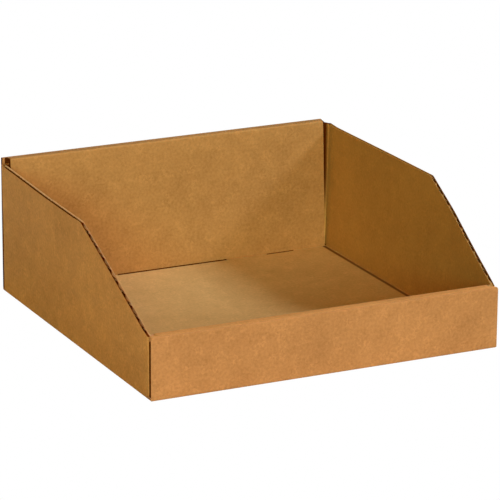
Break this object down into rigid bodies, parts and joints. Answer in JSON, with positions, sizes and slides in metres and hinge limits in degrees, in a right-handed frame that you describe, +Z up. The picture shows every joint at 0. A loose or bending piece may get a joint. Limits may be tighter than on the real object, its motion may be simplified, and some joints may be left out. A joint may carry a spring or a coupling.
{
  "type": "open-top bin box",
  "caption": "Open-top shelf bin folded from one corrugated blank, with rolled-over front and back walls, a low front and side walls that slope down to it, for loose parts.",
  "frame": {"origin": "under the middle of the floor, on the surface that the bin stands on", "axes": "+X across the bin to the right as seen from its low front, +Y from the low front to the back, +Z up"},
  "size_m": [0.3172, 0.3048, 0.117],
  "materials": {
    "kraft_board": "matte kraft liner"
  },
  "bodies": {
    "root": {"bin_box": "kraft_board"}
  },
  "joints": []
}
